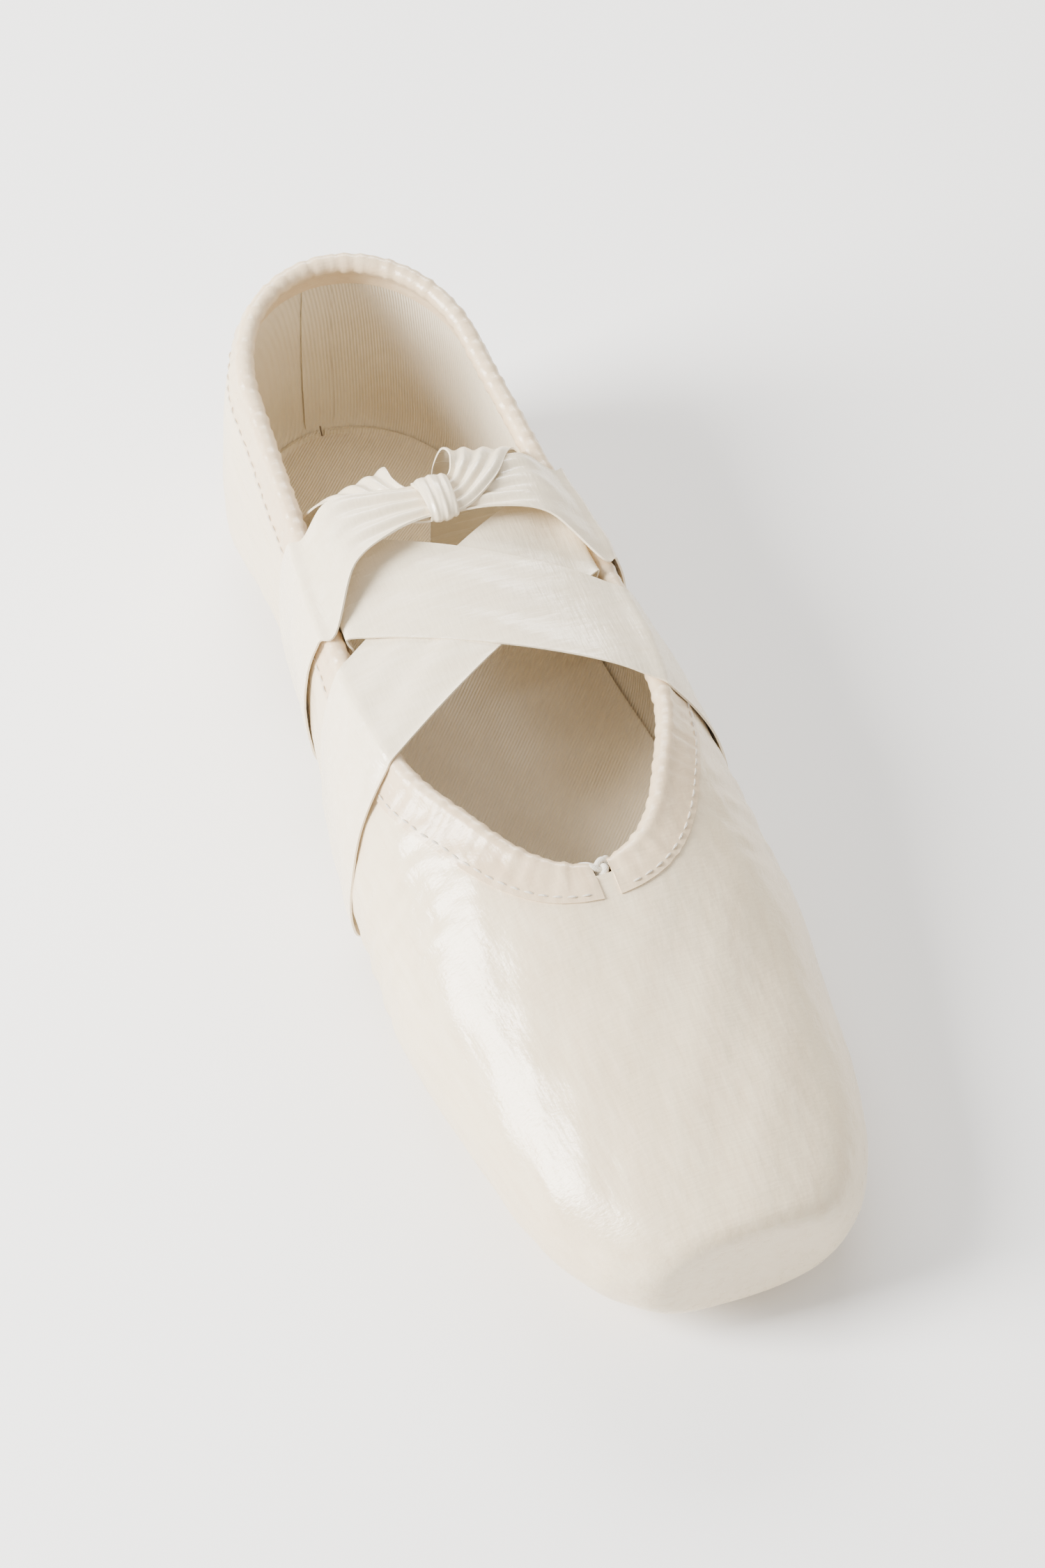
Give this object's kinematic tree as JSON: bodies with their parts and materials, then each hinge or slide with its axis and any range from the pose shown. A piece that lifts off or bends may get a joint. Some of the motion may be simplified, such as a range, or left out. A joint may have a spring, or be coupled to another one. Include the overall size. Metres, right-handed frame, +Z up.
{
  "type": "ballet slipper",
  "caption": "Satin pointe slipper with a flat-tipped toe box, bent shank, leather outsole, drawstring topline and two ribbons crossed over the instep.",
  "frame": {"origin": "on the floor, under the middle of the slipper's box", "axes": "+Z up, -Y towards the toe, +X to the slipper's right as seen from its toe"},
  "size_m": [0.0802, 0.235, 0.0633],
  "materials": {
    "satin": "ivory satin, soft gloss",
    "ribbon_satin": "ivory satin ribbon, soft gloss",
    "cotton": "matt cotton twill",
    "canvas": "glue-stiffened canvas and burlap",
    "board": "pressed leatherboard",
    "suede": "buffed leather, matt",
    "tack_brass": "plain"
  },
  "bodies": {
    "forefoot": {"outsole": "suede", "insole_board": "board", "sock_liner": "cotton", "shank": "board", "sole_filler": "canvas", "platform_block": "canvas", "box_canvas_ply": "canvas", "box_burlap_ply": "canvas", "vamp_satin": "satin", "vamp_lining": "cotton", "drawstring_knot": "cotton"},
    "waist": {"topline_binding": "satin", "drawstring": "cotton", "side_seam_tape_left": "cotton", "side_seam_tape_right": "cotton", "ribbon_left": "ribbon_satin", "ribbon_right": "ribbon_satin", "ribbon_knot_turn": "ribbon_satin"},
    "heel": {"quarter_satin_left": "satin", "quarter_satin_right": "satin", "quarter_lining_left": "cotton", "quarter_lining_right": "cotton", "heel_strip": "satin", "heel_counter": "board", "half_shank": "board", "tack_left": "tack_brass", "tack_right": "tack_brass"}
  },
  "joints": [
    {"name": "ball_flex", "type": "hinge", "parent": "forefoot", "child": "waist", "pos_m": [0, -0.038, 0.005], "axis": [1, 0, 0], "range_deg": [0, 45], "stiffness_Nm_per_rad": 1.5, "deforming": ["outsole", "insole_board", "sock_liner", "shank", "sole_filler", "box_canvas_ply", "vamp_satin", "vamp_lining", "topline_binding", "drawstring"]},
    {"name": "arch_flex", "type": "hinge", "parent": "waist", "child": "heel", "pos_m": [0, 0.045, 0.015], "axis": [1, 0, 0], "range_deg": [0, 20], "stiffness_Nm_per_rad": 2, "deforming": ["outsole", "insole_board", "sock_liner", "shank", "half_shank", "quarter_satin_left", "quarter_satin_right", "quarter_lining_left", "quarter_lining_right", "topline_binding", "drawstring", "ribbon_left", "ribbon_right"]}
  ]
}
